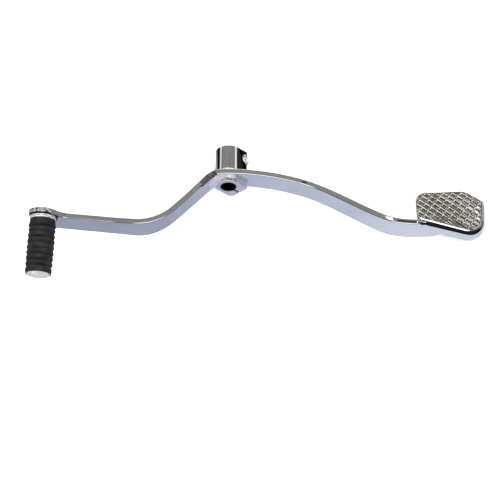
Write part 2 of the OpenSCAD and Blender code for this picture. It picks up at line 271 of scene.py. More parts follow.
def place_mesh(name, mesh, material, body, nodes=(), sharp=32):
    """An object with one material. Edges with more than sharp degrees between faces stay sharp."""
    mesh.materials.clear()
    mesh.materials.append(material)
    mesh.shade_smooth()
    mesh.set_sharp_from_angle(angle=math.radians(sharp))
    piece = bpy.data.objects.new(name, mesh)
    bpy.context.scene.collection.objects.link(piece)
    if body:
        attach(piece, body)
    if nodes:
        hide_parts(*nodes)
    return piece


def loft_faces(rings, size):
    """Quads between rings of equal size, with the two ends closed."""
    faces = []
    for i in range(rings - 1):
        for j in range(size):
            k = (j + 1) % size
            faces.append((i * size + j, i * size + k, (i + 1) * size + k, (i + 1) * size + j))
    faces.append(tuple(range(size - 1, -1, -1)))
    faces.append(tuple((rings - 1) * size + j for j in range(size)))
    return faces


def lathe(profile, turns=96):
    """Points and faces of a closed (radius, height) profile turned about local z."""
    points = []
    for k in range(turns):
        a = 2 * math.pi * k / turns
        for r, z in profile:
            points.append(Vector((r * math.cos(a), r * math.sin(a), z)))
    size = len(profile)
    faces = []
    for k in range(turns):
        m = (k + 1) % turns
        for j in range(size):
            n = (j + 1) % size
            faces.append((k * size + j, k * size + n, m * size + n, m * size + j))
    return points, faces


def rounded(profile, corners):
    """The profile with the listed corners cut by small arcs: {index: radius}."""
    steps = 4
    out = []
    for i, point in enumerate(profile):
        p = Vector(point)
        if i not in corners:
            out.append(p)
            continue
        a = (Vector(profile[i - 1]) - p).normalized() * corners[i]
        b = (Vector(profile[(i + 1) % len(profile)]) - p).normalized() * corners[i]
        for k in range(steps + 1):
            t = k / steps
            out.append(p + a * (1 - t) ** 2 + b * t ** 2)
    return [tuple(p) for p in out]


def cut(piece, tool, operation):
    """Exact boolean of two pieces, applied. The tool is used up."""
    modifier = piece.modifiers.new("cut", "BOOLEAN")
    modifier.object = tool
    modifier.operation = operation
    modifier.solver = "EXACT"
    modifier.material_mode = "TRANSFER"
    apply_modifiers(piece)
    bpy.data.objects.remove(tool)


def apply_modifiers(piece):
    """The piece's mesh with its modifiers made permanent."""
    bpy.context.view_layer.update()
    depsgraph = bpy.context.evaluated_depsgraph_get()
    mesh = bpy.data.meshes.new_from_object(piece.evaluated_get(depsgraph))
    piece.modifiers.clear()
    piece.data = mesh


def ease(t):
    """From 0 to 1 with a level start and end."""
    return t * t * (3 - 2 * t)


def ramp(value, low, high):
    """0 below low, 1 above high, and eased between them."""
    return ease(min(1.0, max(0.0, (value - low) / (high - low))))


# ---------------------------------------------------------------- lever bar


def corner_arc(a, b, c, radius):
    """Points of the arc that rounds corner b between a and c, about 1.2 mm apart."""
    u, v = (a - b).normalized(), (c - b).normalized()
    half = math.acos(u.dot(v)) / 2
    centre = b + (u + v).normalized() * radius / math.sin(half)
    first = b + u * radius / math.tan(half) - centre
    side = 1 if (b - a).cross(c - b) > 0 else -1
    turn = side * (math.pi - 2 * half)
    steps = max(4, math.ceil(abs(turn) * radius / 1.2))
    return [centre + Matrix.Rotation(turn * i / steps, 2) @ first for i in range(steps + 1)]


def bar_path():
    """Plan of the bar's outer face, with points at most 2 mm apart."""
    corners = [Vector(c) for c in BAR_CORNERS]
    path = [corners[0]]
    for i, radius in enumerate(BAR_BENDS):
        path += corner_arc(corners[i], corners[i + 1], corners[i + 2], radius)
    path.append(corners[-1])
    fine = [path[0]]
    for p, q in zip(path, path[1:]):
        steps = max(1, math.ceil((q - p).length / 2))
        fine += [p.lerp(q, k / steps) for k in range(1, steps + 1)]
    return fine


BAR_PATH = bar_path()


def station(x):
    """Height of the bar's centre, and the bar's height, at x."""
    i = 0
    while i < len(STATIONS) - 2 and x > STATIONS[i + 1][0]:
        i += 1
    a, b = STATIONS[i], STATIONS[i + 1]
    t = ease((x - a[0]) / (b[0] - a[0]))
    return a[1] + (b[1] - a[1]) * t, a[2] + (b[2] - a[2]) * t


def outer_face_y(x):
    """Y of the bar's outer face at x."""
    for p, q in zip(BAR_PATH, BAR_PATH[1:]):
        if p.x <= x <= q.x:
            return p.y + (q.y - p.y) * (x - p.x) / max(q.x - p.x, 1e-6)
    return BAR_PATH[-1].y


def bar_section(thickness, height, slope=0.0):
    """Section of the bar: u is 0 on the outer face, v is 0 at its middle.

    Slope, from 0 to 1, rounds its top outer corner off. The outer face is slightly crowned.
    """
    edge, crown = 0.75, 0.16
    half = height / 2
    wide, tall = 0.95 + 1.3 * slope, 0.32 + 3.9 * slope
    quarter = [math.radians(11.25 * k) for k in range(9)]
    section = [(edge * (1 - math.sin(t)), edge * (1 - math.cos(t)) - half) for t in quarter]
    section += [(0.0, edge - half + (height - edge - tall) * k / 10) for k in range(1, 10)]
    section += [(wide * (1 - math.cos(t)), half - tall * (1 - math.sin(t))) for t in quarter]
    back = thickness - edge
    section += [(back + edge * math.sin(t), half - edge * (1 - math.cos(t))) for t in quarter]
    section += [(back + edge * math.cos(t), edge * (1 - math.sin(t)) - half) for t in quarter]
    return [(u - crown * (1 - (v / half) ** 2) if u < thickness / 2 else u, v) for u, v in section]


def ring(centre, inboard, up, thickness, height, slope=0.0):
    """The bar's section round centre, spread along two directions."""
    section = bar_section(thickness, height, slope)
    return [centre + inboard * (u - thickness / 2) + up * (v + forging_marks(centre, u, v, height))
            for u, v in section]


def forging_marks(centre, u, v, height):
    """Small dents on top of the bar where it was bent and welded beside the hub."""
    beside_hub = ramp(centre.x, -20, -17) * (1 - ramp(centre.x, -9.2, -8.4))
    near_top = ramp(v, 0.35 * height, 0.45 * height)
    lean = 0.42 * (u - BAR_T)
    dents = 0.3 * noise.noise(Vector((centre.x * 0.4, u * 0.4, 1.7)))
    return beside_hub * near_top * (lean + dents)


def peg_matrix():
    """Local z runs out along the toe peg from the front face of the eye."""
    splay = Matrix.Rotation(math.radians(-PEG_SPLAY), 4, "Z")
    tilt = Matrix.Rotation(math.radians(90 + PEG_TILT), 4, "X")
    return Matrix.Translation(PEG_SEAT) @ splay @ tilt


PEG = peg_matrix()


def toe_neck_rings(centre, along, inboard, height):
    """Rings that carry the bar's first section, at centre, into the plane of the eye.

    Each ring has a distance from the middle of the eye, and a share of the eye's own direction.
    """
    inboard_eye = -(PEG.to_3x3() @ Vector((0, 0, 1)))
    up_eye = inboard_eye.cross(Vector((-1, 0, 0))).normalized()
    middle_eye = Vector(PEG_SEAT) + inboard_eye * EYE_T / 2
    rings = []
    stages = ((3.4, 1), (4.6, 1), (5.4, 0.9), (6.4, 0.4), (7.4, 0), (8.6, 0), (9.8, 0))
    for x, share in stages:
        across = inboard.lerp(inboard_eye, share).normalized()
        up = Vector((0, 0, 1)).lerp(up_eye, share).normalized()
        up = (up - across * up.dot(across)).normalized()
        reach = along * ((TOE_X + x - centre.x) / along.x)
        middle = (centre + reach).lerp(Vector((TOE_X + x, middle_eye.y, middle_eye.z)), share)
        rise = neck_rise(TOE_X + x) * (1 - share)
        thickness = BAR_T + (EYE_T - 0.1 - BAR_T) * share
        rings.append(ring(middle + up * rise / 2, across, up, thickness, height + 0.4 * share + rise))
    return rings


def neck_rise(x):
    """How far the top of the bar is still above its straight run where it leaves the eye."""
    return 4.2 * (1 - ramp(x - TOE_X, 4.0, 14.5))


def bar_rings():
    """Rings of the whole bar, from inside the eye to its end under the pad."""
    rings = []
    for i, p in enumerate(BAR_PATH):
        if not BAR_START_X <= p.x <= BAR_END_X:
            continue
        along = (BAR_PATH[min(i + 1, len(BAR_PATH) - 1)] - BAR_PATH[i - 1]).normalized()
        inboard = Vector((-along.y, along.x, 0))
        middle_z, height = station(p.x)
        top, bottom = middle_z + height / 2, middle_z - height / 2
        slope = ramp(p.x, 124.8, 125.6)
        top += (PAD_TOP + 0.4 - top) * slope
        if not rings:
            centre = Vector((p.x, p.y, middle_z)) + inboard * BAR_T / 2
            rings += toe_neck_rings(centre, Vector((along.x, along.y, 0)), inboard, height)
        top += neck_rise(p.x)
        centre = Vector((p.x, p.y, (top + bottom) / 2)) + inboard * BAR_T / 2
        rings.append(ring(centre, inboard, Vector((0, 0, 1)), BAR_T, top - bottom, slope))
    return rings


def turned_solid(name, profile, place, turns, material):
    """A lathed solid for a boolean, placed by a matrix."""
    points, faces = lathe(profile, turns)
    return make_piece(name, [place @ p for p in points], faces, material, None)


def disc(radius, low, high):
    """Profile of a plain disc about local z."""
    return [(0.01, low), (radius, low), (radius, high), (0.01, high)]


def make_lever_bar():
    """The bar joined with its eye, with the hub's hole and the roller's clearance cut out."""
    rings = bar_rings()
    points = [p for r in rings for p in r]
    bar = make_piece("lever_bar", points, loft_faces(len(rings), len(rings[0])), chrome, None)

    profile = [(EYE_HOLE_R, 0), (EYE_R, 0), (EYE_R, -EYE_T), (EYE_HOLE_R, -EYE_T)]
    profile = rounded(profile, {1: 0.35, 2: 0.5})
    cut(bar, turned_solid("eye", profile, PEG, 120, forged_chrome), "UNION")

    turn = Matrix.Rotation(math.radians(90), 4, "X")
    hole = disc(SPIGOT_R - 0.5, -20, 20)
    cut(bar, turned_solid("bore", hole, turn, 64, chrome), "DIFFERENCE")
    clearance = disc(FLANGE_R + 0.5, 0.02, 4.35)
    cut(bar, turned_solid("relief", clearance, PEG, 96, chrome), "DIFFERENCE")
    bar.data.shade_smooth()
    bar.data.set_sharp_from_angle(angle=math.radians(32))
    finish_bar_faces(bar.data)
    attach(bar, "lever")
    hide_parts("lever_arm")


def finish_bar_faces(mesh):
    """Darker, mottled chrome on the top faces beside the hub, and painted shade on the eye's joint face at
    the thrust washer.
    """
    mottled_patch = len(mesh.materials)
    joint_gap_shade = mottled_patch + 1
    mesh.materials.append(dark_mottled_chrome)
    mesh.materials.append(painted_shade_steel)
    to_peg = PEG.inverted()
    for face in mesh.polygons:
        middle = face.center / MM
        place = to_peg @ middle
        # Darker, mottled chrome on the top faces beside the hub.
        if -17.5 < middle.x < -7.5 and face.normal.z > 0.35:
            face.material_index = mottled_patch
        # Painted shade: the eye's front face where it meets the thrust washer gets near-black steel, standing
        # in for the shade in the gap.
        elif math.hypot(place.x, place.y) < EYE_R + 0.1 and -0.3 < place.z < 0.1:
            face.material_index = joint_gap_shade


# ---------------------------------------------------------------- clamp hub


def make_hub():
    """The CAD hub with its outer edges rounded, as plating leaves them.

    Its bore and slit get near-black steel as painted shade. The spigot's sides have the plating of the weld,
    whose darker bluish tone is a painted reflection.
    """
    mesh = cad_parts["clamp_hub"].data.copy()
    work = bmesh.new()
    work.from_mesh(mesh)
    bmesh.ops.remove_doubles(work, verts=work.verts, dist=0.002 * MM)
    bmesh.ops.dissolve_limit(work, angle_limit=math.radians(0.5), verts=work.verts, edges=work.edges)
    weight = work.edges.layers.float.new("bevel_weight_edge")
    for edge in work.edges:
        if len(edge.link_faces) != 2:
            continue
        middle = (edge.verts[0].co + edge.verts[1].co) / (2 * MM)
        outside = math.hypot(middle.x, middle.z) > BORE_R + 0.5
        if outside and edge.calc_face_angle(0) > math.radians(35):
            edge[weight] = 1.0
    work.to_mesh(mesh)
    work.free()
    hub = place_mesh("hub", mesh, chrome, "lever", ["clamp_hub"], 25)
    bevel = hub.modifiers.new("edges", "BEVEL")
    bevel.limit_method = "WEIGHT"
    bevel.width = 0.35 * MM
    bevel.segments = 3
    bevel.harden_normals = True
    apply_modifiers(hub)
    hub.data.materials.append(painted_shade_steel)
    hub.data.materials.append(weld_chrome_painted_reflection)
    for face in hub.data.polygons:
        middle = face.center / MM
        in_bore = math.hypot(middle.x, middle.z) < BORE_R and abs(middle.y) < HUB_HALF - 0.3
        across_slit = (middle.x + middle.z) / math.sqrt(2)
        in_slit = middle.x > middle.z and abs(across_slit) < SLIT_HALF and abs(middle.y) < HUB_HALF - 0.2
        # Painted shade: the faces of the bore and the slit get near-black steel.
        if in_bore or in_slit:
            face.material_index = 1
        # Weld plating on the spigot's sides, with its painted cool reflection.
        elif middle.y < -6 and face.normal.y > -0.5:
            face.material_index = 2


def pits(place, scale, depth):
    """Uneven beads and pits of a hand-made weld: coarse ones, and finer ones half as deep."""
    coarse = noise.noise(Vector(place) * scale)
    fine = noise.noise(Vector(place) * 2.3 * scale)
    return depth * coarse + 0.5 * depth * fine


def weld_sweep(name, angles, inner, outer, bulge, floor_y, rough, material):
    """A fillet swept round the shaft axis: inner and outer give (radius, y) of its two edges.

    The skin between them is a curve pulled by bulge towards the corner that it fills. Rough
    gives the depth of its pits at an angle, and floor_y is where its hidden base lies.
    """
    steps = 10
    points = []
    for a in angles:
        radial = Vector((math.cos(math.radians(a)), 0, math.sin(math.radians(a))))
        (r0, y0), (r1, y1) = inner(a), outer(a)
        corner = Vector((r0 + (r1 - r0) * (1 - bulge), y0 + (y1 - y0) * bulge))
        section = []
        for k in range(steps + 1):
            t = k / steps
            r = r0 * (1 - t) ** 2 + 2 * corner.x * t * (1 - t) + r1 * t ** 2
            y = y0 * (1 - t) ** 2 + 2 * corner.y * t * (1 - t) + y1 * t ** 2
            lump = rough(a) * 4 * t * (1 - t)
            place = radial * r + Vector((0, y, 0))
            outward = -1 if floor_y > y0 else 1
            section.append(place + (radial + Vector((0, outward, 0))) * pits(place, 1.5, lump))
        section.append(radial * r1 + Vector((0, floor_y, 0)))
        section.append(radial * (r0 - 0.5) + Vector((0, floor_y, 0)))
        section.append(radial * (r0 - 0.5) + Vector((0, y0, 0)))
        points += section
    faces = loft_faces(len(angles), steps + 4)
    make_piece(name, points, faces, material, "lever", ["hub_weld"], 50)


def make_hub_welds():
    """Fillet in front of the bar, a row of pits on the spigot's rim, and the fillet behind."""
    near_y = FRONT_Y + 0.12
    face_y = FRONT_Y + 4.1
    back_y = face_y + BAR_T

    def front_inner(a):
        left = ramp(a, 95, 160)
        leg = 3.4 * ramp(a, 38, 62) + 0.3
        return SPIGOT_R - 0.08, (face_y - leg) + (near_y - face_y + leg) * left

    def front_outer(a):
        left = ramp(a, 95, 160)
        top_limit = 9.5 / max(0.3, math.sin(math.radians(a)))
        radius = min(top_limit, SPIGOT_R + 0.4 + 2.0 * ramp(a, 38, 62) + 2.8 * left)
        x = radius * math.cos(math.radians(a))
        return radius, outer_face_y(x) + 0.25

    def back_inner(a):
        return HUB_R - 0.06, back_y + 1.4

    def back_outer(a):
        top_limit = 9.7 / max(0.3, math.sin(math.radians(a)))
        return min(HUB_R + 1.1, top_limit), back_y - 0.2

    def front_rough(a):
        return 0.16 * ramp(a, 45, 60) * (1 - ramp(a, 120, 150)) + 0.02

    def bead_inner(a):
        return SPIGOT_R - 0.05, FRONT_Y + 0.4

    def bead_outer(a):
        return SPIGOT_R + 0.55, FRONT_Y + 1.3

    def sweep_angles(first, steps):
        return [first + 2.0 * k for k in range(steps)]

    weld_sweep("front_weld", sweep_angles(38, 79), front_inner, front_outer, 0.6, face_y + 1.5,
               front_rough, weld_chrome_painted_reflection)
    weld_sweep("pitted_bead", sweep_angles(46, 44), bead_inner, bead_outer, 0.3, FRONT_Y + 2.2,
               lambda a: 0.3, pitted_chrome)
    weld_sweep("back_weld", sweep_angles(16, 80), back_inner, back_outer, 0.7, back_y - 1.5,
               lambda a: 0.14, cast_chrome)


# ---------------------------------------------------------------- pinch bolt


def bolt_matrix():
    """Local z runs along the pinch bolt towards the threaded ear."""
    slit = Matrix.Rotation(math.radians(90), 4, "X") @ Matrix.Rotation(math.radians(-SLIT_ANGLE), 4, "Z")
    aside = Matrix.Translation((BOLT_ASIDE, 0, 0)) @ Matrix.Rotation(math.radians(-90), 4, "X")
    return Matrix.Translation((0, BOLT_Y, 0)) @ slit @ aside


def make_pinch_bolt():
    """M6 bolt: chamfered hexagon head with a dished top, and a rolled thread.

    Each level of the head is a radius, a height and whether the hexagon's flats cut it.
    """
    plain_washer_t, lock_washer_t = 1.5, 1.6
    seat = -(HUB_R + plain_washer_t + lock_washer_t)
    flat, head_h, thread_r, pitch = 5.0, 6.0, 3.0, 1.0
    end = HUB_R - 0.3
    levels = [(0.01, -head_h + 0.5, 0), (3.1, -head_h + 0.5, 0), (3.6, -head_h, 0), (4.7, -head_h, 0)]
    levels += [(4.7 + 1.1 * k / 4, -head_h + 0.9 * (k / 4) ** 1.6, 1) for k in range(1, 5)]
    levels += [(5.8, -0.7, 1), (4.95, -0.35, 0), (4.9, 0, 0), (thread_r, 0, 0)]
    rings = [(r, seat + z, hexed) for r, z, hexed in levels]
    z = seat + 1.0
    while z < end - 0.9:
        rings += [(thread_r, z, 0), (thread_r - 0.45, z + pitch / 2, 0)]
        z += pitch
    rings += [(thread_r, end - 0.8, 0), (thread_r - 0.7, end, 0), (1.3, end, 0), (0.9, end - 0.5, 0),
              (0.01, end - 0.6, 0)]
    turns = 72
    points = []
    for r, z, hexed in rings:
        for k in range(turns):
            a = 2 * math.pi * k / turns
            side = flat / math.cos((a + math.pi / 6) % (math.pi / 3) - math.pi / 6)
            radius = min(r, side) if hexed else r
            points.append(Vector((radius * math.cos(a), radius * math.sin(a), z)))
    faces = loft_faces(len(rings), turns)
    placed = [bolt_matrix() @ p for p in points]
    make_piece("bolt", placed, faces, zinc, "lever", ["pinch_bolt"], 30)


# ---------------------------------------------------------------- toe roller


def make_toe_pin():
    """Pin with a low domed head, its other end riveted over behind the eye."""
    washer_t, shank_r, rim_h, dome_h = 1.0, 3.2, 0.7, 2.2
    rivet_z = -EYE_T - washer_t
    profile = [(0.01, rivet_z - 1.4), (1.6, rivet_z - 1.36), (3.2, rivet_z - 1.15), (3.9, rivet_z - 0.75),
               (4.2, rivet_z), (shank_r, rivet_z), (shank_r, 0), (PIN_R, 0), (PIN_R, HEAD_FROM),
               (HEAD_R - 0.2, HEAD_FROM), (HEAD_R, HEAD_FROM + rim_h)]
    for k in range(1, 10):
        a = math.radians(9 * k)
        profile.append((HEAD_R * math.cos(a), HEAD_FROM + rim_h + dome_h * math.sin(a)))
    profile.append((0.01, HEAD_FROM + rim_h + dome_h))
    points, faces = lathe(profile, 96)
    placed = []
    for p in points:
        radius = math.hypot(p.x, p.y)
        if p.z > HEAD_FROM + 0.8 and radius > 0.1:
            facet = 0.05 * noise.noise(Vector((p.x, p.y, 0)) * 0.45) * ramp(radius, 0.5, 3)
            p = p + Vector((0, 0, facet))
        placed.append(PEG @ p)
    make_piece("toe_peg_pin", placed, faces, cap_steel, "lever", ["toe_pin"], 38)


def make_toe_sleeve():
    """Bush with the bright flange that faces the eye: its rim has a shallow groove."""
    bore = PIN_R + 0.06
    profile = rounded([
        (bore, FLANGE_FROM), (FLANGE_R, FLANGE_FROM), (FLANGE_R, FLANGE_FROM + 1.0),
        (FLANGE_R - 0.25, FLANGE_FROM + 1.25), (FLANGE_R - 0.05, FLANGE_FROM + 1.5),
        (FLANGE_R - 0.05, RUBBER_FROM), (SLEEVE_R, RUBBER_FROM), (SLEEVE_R, SLEEVE_TO), (bore, SLEEVE_TO),
    ], {1: 0.35, 5: 0.2})
    points, faces = lathe(profile, 120)
    make_piece("roller_bush", [PEG @ p for p in points], faces, bush_steel, "toe_roller",
               ["toe_sleeve"], 30)


def rubber_profile():
    """Outline of the ribbed rubber from the flange to its free end: a plain collar, then ribs."""
    collar, lip = 5.1, 0.35
    ribs, pitch, groove = 8, 3.78, 1.05
    last = RUBBER_L - collar - (ribs - 1) * pitch
    steps = 12

    def swell(t):
        """Radius of the ribs' crests at a share of the length, widest in the middle."""
        return RUBBER_R - 0.35 * (2 * t - 1) ** 2

    outline = [(swell(0) - 0.45, 0.0), (swell(0) - 0.25, 0.25), (swell(0) - 0.15, 1.6), (swell(0.05), 2.9)]
    outline += [(swell(0.08) + lip, 3.9), (swell(0.1) + lip - 0.05, 4.4), (swell(0.1) - 0.1, 4.85)]
    for i in range(ribs):
        is_last = i == ribs - 1
        length = last if is_last else pitch
        for share in (k / steps for k in range(steps)):
            if is_last and share > 0.86:
                break
            along = collar + i * pitch + length * share
            crest = abs(math.sin(math.pi * share)) ** 0.62
            outline.append((swell(along / RUBBER_L) - groove * (1 - crest), along))
    outline.append((HEAD_R + 0.75, RUBBER_L - 0.25))
    outline.append((HEAD_R + 0.45, RUBBER_L))
    return [(r, RUBBER_FROM + z) for r, z in outline]


def make_toe_rubber():
    """Tube of ribbed rubber on the bush, with a recess in its end for the pin's head."""
    def uneven(a, z):
        """Moulding flash along two lines, and ribs that aren't quite alike."""
        flash = sum(math.exp(-((a - line) / 0.03) ** 2) for line in (0.9, 0.9 + math.pi))
        return 0.08 * flash + 0.1 * noise.noise(Vector((math.cos(a), math.sin(a), z * 0.35)) * 1.3)

    outer = rubber_profile()
    recess_r = HEAD_R + 0.25
    inner = [(recess_r, RUBBER_TO - 0.2), (recess_r, SLEEVE_TO)]
    inner += [(SLEEVE_R, SLEEVE_TO), (SLEEVE_R, RUBBER_FROM)]
    points, faces = lathe(outer + inner, 128)
    size = len(outer + inner)
    placed = []
    for i, p in enumerate(points):
        if i % size < len(outer):
            a = math.atan2(p.y, p.x) % (2 * math.pi)
            p = p + Vector((math.cos(a), math.sin(a), 0)) * uneven(a, p.z)
        placed.append(PEG @ p)
    make_piece("ribbed_rubber", placed, faces, rubber, "toe_roller", ["toe_rubber"], 60)


# ---------------------------------------------------------------- heel pad


def pad_outline(grow, shift=(0.0, 0.0), flare=0.0, turns=160, undercut=0.0):
    """Plan outline of the pad: the common outline of its circles, grown and moved.

    Flare, from 0 to 1, moves the last circle out with the flank. The side towards the hub has
    no flank: it falls plumb, and is drawn in by undercut.
    """
    outline = []
    for k in range(turns):
        a = 2 * math.pi * k / turns
        way = Vector((math.cos(a), math.sin(a)))
        plumb = ramp(-way.x, 0.3, 0.8) * ramp(way.y, -0.7, -0.2)
        centres = [Vector((x, y)) for x, y, r in PAD_CIRCLES]
        centres[-1] = centres[-1] + Vector((-0.2, -0.9)) * flare
        reach = [c.dot(way) + r for c, (x, y, r) in zip(centres, PAD_CIRCLES)]
        i = reach.index(max(reach))
        side = (min(grow, 0.0) - undercut) * plumb + grow * (1 - plumb)
        outline.append(centres[i] + way * (PAD_CIRCLES[i][2] + side) + Vector(shift) * (1 - plumb))
    return outline


def make_pad_body():
    """Solid pad under the tread: a narrow bright ledge, a rounded flank that flares outwards.

    Each level is a height, how far the outline grows there, and its share of the flare. The
    flank's levels follow a curve that steepens from the ledge to the base.
    """
    ledge_z, ledge_grow, flank_h, flank_grow = PAD_TOP + 1.04, 0.2, 5.4, 1.35
    levels = [(PAD_TOP + 0.9, -0.3, 0.0), (PAD_TOP + 1.08, -0.12, 0.0), (PAD_TOP + 1.12, 0.05, 0.0),
              (ledge_z, ledge_grow, 0.0)]
    tilts = [14, 20, 28] + [38 + 50 * (k / 13) ** 0.5 for k in range(14)]
    outs, downs = [0.0], [0.0]
    for tilt in tilts:
        step = 0.38 if tilt < 30 else 1.0
        outs.append(outs[-1] + step * math.cos(math.radians(tilt)))
        downs.append(downs[-1] + step * math.sin(math.radians(tilt)))
    for out, down in zip(outs[1:], downs[1:]):
        out, down = out / outs[-1], down / downs[-1]
        levels.append((ledge_z - flank_h * down, ledge_grow + flank_grow * out, out))
    base = PAD_TOP - PAD_T
    levels += [(base + 0.8, 1.45, 1.0), (base + 0.25, 1.1, 1.0), (base, 0.6, 1.0)]
    points = []
    for z, grow, flare in levels:
        undercut = 0.24 * max(0.0, PAD_TOP + 0.6 - z)
        outline = pad_outline(grow, (1.0 * flare, -1.9 * flare), flare, undercut=undercut)
        points += [Vector((p.x, p.y, z)) for p in outline]
    faces = loft_faces(len(levels), len(outline))
    make_piece("pad_body", points, faces, chrome, "lever", ["heel_pad"], 40)


def tread_height(x, y):
    """Height of the knurl at x, y: rows of diamonds with flat tops and sloping sides, some worn."""
    diamond_h = 0.48
    dx, dy = x - TREAD_CENTRE.x, y - TREAD_CENTRE.y
    u = dx * math.cos(ROW_TURN) + dy * math.sin(ROW_TURN)
    v = -dx * math.sin(ROW_TURN) + dy * math.cos(ROW_TURN)
    cell = (round(v / ROW_PITCH), round(u / DIAMOND_L))
    a = abs(v / ROW_PITCH - cell[0]) * 2
    b = abs(u / DIAMOND_L - cell[1]) * 2
    worn = 0.88 + 0.12 * noise.cell(Vector((cell[0] + 0.5, cell[1] + 0.5, 3.5)))
    return diamond_h * worn * min(1.0, (1 - a) / 0.55, (1 - b) / 0.3)


def make_tread():
    """Knurled top of the pad, made on a fine grid inside the pad's outline.

    The grid follows the rows of diamonds, 16 steps along each and 12 across.
    """
    rim = pad_outline(0.0, turns=TREAD_TURNS)
    inner = pad_outline(-0.45, turns=TREAD_TURNS)
    points = rim + inner
    low_x, high_x = min(p.x for p in rim), max(p.x for p in rim)
    low_y, high_y = min(p.y for p in rim), max(p.y for p in rim)
    along = Vector((math.cos(ROW_TURN), math.sin(ROW_TURN)))
    across = Vector((-math.sin(ROW_TURN), math.cos(ROW_TURN)))
    reach = range(-90, 91)
    for i in reach:
        for j in reach:
            p = TREAD_CENTRE + along * (i * DIAMOND_L / 16) + across * (j * ROW_PITCH / 12)
            in_box = low_x < p.x < high_x and low_y < p.y < high_y
            if in_box and edge_distance(p) > 0.6:
                points.append(p)
    loop = TREAD_TURNS
    edges = [(k, (k + 1) % loop) for k in range(loop)]
    edges += [(loop + k, loop + (k + 1) % loop) for k in range(loop)]
    plan, _, faces, _, _, _ = delaunay_2d_cdt(points, edges, [], 1, 1e-5)
    top = []
    for p in plan:
        edge = edge_distance(p)
        crown = 0.5 * (1 - ((p.x - TREAD_CENTRE.x) / 26) ** 2) + 0.2
        knurl = tread_height(p.x, p.y) * ramp(edge, 0.05, 0.5)
        height = 1.0 + (crown - 0.35) * ramp(edge, 0.0, 5.0) - 0.15 * ramp(edge, 0.1, 0.7)
        top.append(Vector((p.x, p.y, PAD_TOP + height + knurl)))
    border = [k for k, p in enumerate(plan) if edge_distance(p) < 0.01]
    border.sort(key=lambda k: math.atan2(plan[k].y - TREAD_CENTRE.y, plan[k].x - TREAD_CENTRE.x))
    base = [Vector((plan[k].x, plan[k].y, PAD_TOP)) for k in border]
    faces = [tuple(f) for f in faces]
    count, n = len(top), len(border)
    for k in range(n):
        m = (k + 1) % n
        faces.append((border[k], border[m], count + m, count + k))
    faces.append(tuple(count + k for k in range(n)))
    make_piece("knurled_tread", top + base, faces, cast_chrome, "lever", ["heel_tread"], 28)


def edge_distance(p):
    """Distance from p in to the pad's outline, negative outside it."""
    return min((a - p).dot(normal) for a, normal in TREAD_SIDES)


def tread_sides():
    """A point and the outward normal of each side of the tread's outline."""
    outline = pad_outline(0.0, turns=TREAD_TURNS)
    sides = []
    for p, q in zip(outline, outline[1:] + outline[:1]):
        along = q - p
        if along.length > 1e-6:
            along.normalize()
            sides.append((p, Vector((along.y, -along.x))))
    return sides


TREAD_SIDES = tread_sides()

# ---------------------------------------------------------------- stage


def make_floor():
    """Pale floor. Polished metal sees a painted reflection in it instead: a cool, darker glow, lighter
    towards +x, that fades out behind the object and beyond its surroundings.
    """
    size, gap = 3.0, 0.0005
    mesh = bpy.data.meshes.new("floor")
    z = cad_low.z - gap
    corners = [(-size, -size, z), (size, -size, z), (size, size, z), (-size, size, z)]
    mesh.from_pydata(corners, [], [(0, 1, 2, 3)])
    material = bpy.data.materials.new("pale_floor_and_painted_reflection")
    material.use_nodes = True
    tree = material.node_tree
    paint = tree.nodes["Principled BSDF"]
    paint.inputs["Roughness"].default_value = 0.9
    paint.inputs["Specular IOR Level"].default_value = 0.0
    paint.inputs["Base Color"].default_value = (0.97, 0.97, 0.97, 1)
    place = add_node(tree, "ShaderNodeTexCoord").outputs["Object"]
    split = add_node(tree, "ShaderNodeSeparateXYZ", {"Vector": place})
    share = add_node(tree, "ShaderNodeMapRange", {
        "Value": split.outputs["X"], "From Min": -0.12, "From Max": 0.14,
    })
    # Painted reflection for glossy rays: a cool tone, darker at -x and lighter at +x, given off as an
    # emission.
    tone = grey_ramp(tree, share.outputs["Result"], [
        (0.0, (0.36, 0.4, 0.48)), (0.35, (0.4, 0.43, 0.54)),
        (0.6, (0.55, 0.58, 0.69)), (1.0, (0.72, 0.75, 0.83)),
    ])
    behind = add_node(tree, "ShaderNodeMapRange", {
        "Value": split.outputs["Y"], "From Min": 0.03, "From Max": 0.06, "To Min": 1.0, "To Max": 0.02,
    }, interpolation_type="SMOOTHSTEP")
    reach = add_node(tree, "ShaderNodeVectorMath", {0: place}, operation="LENGTH")
    far = add_node(tree, "ShaderNodeMapRange", {
        "Value": reach.outputs["Value"], "From Min": 0.2, "From Max": 0.36, "To Min": 1.0, "To Max": 0.03,
    }, interpolation_type="SMOOTHSTEP")
    fades = {0: behind.outputs["Result"], 1: far.outputs["Result"]}
    strength = add_node(tree, "ShaderNodeMath", fades, operation="MULTIPLY").outputs["Value"]
    painted_reflection = add_node(tree, "ShaderNodeEmission", {"Color": tone, "Strength": strength}).outputs["Emission"]
    glossy = add_node(tree, "ShaderNodeLightPath").outputs["Is Glossy Ray"]
    mix = add_node(tree, "ShaderNodeMixShader", {0: glossy, 1: paint.outputs["BSDF"], 2: painted_reflection})
    tree.links.new(mix.outputs["Shader"], tree.nodes["Material Output"].inputs["Surface"])
    mesh.materials.append(material)
    floor = bpy.data.objects.new("floor", mesh)
    bpy.context.scene.collection.objects.link(floor)


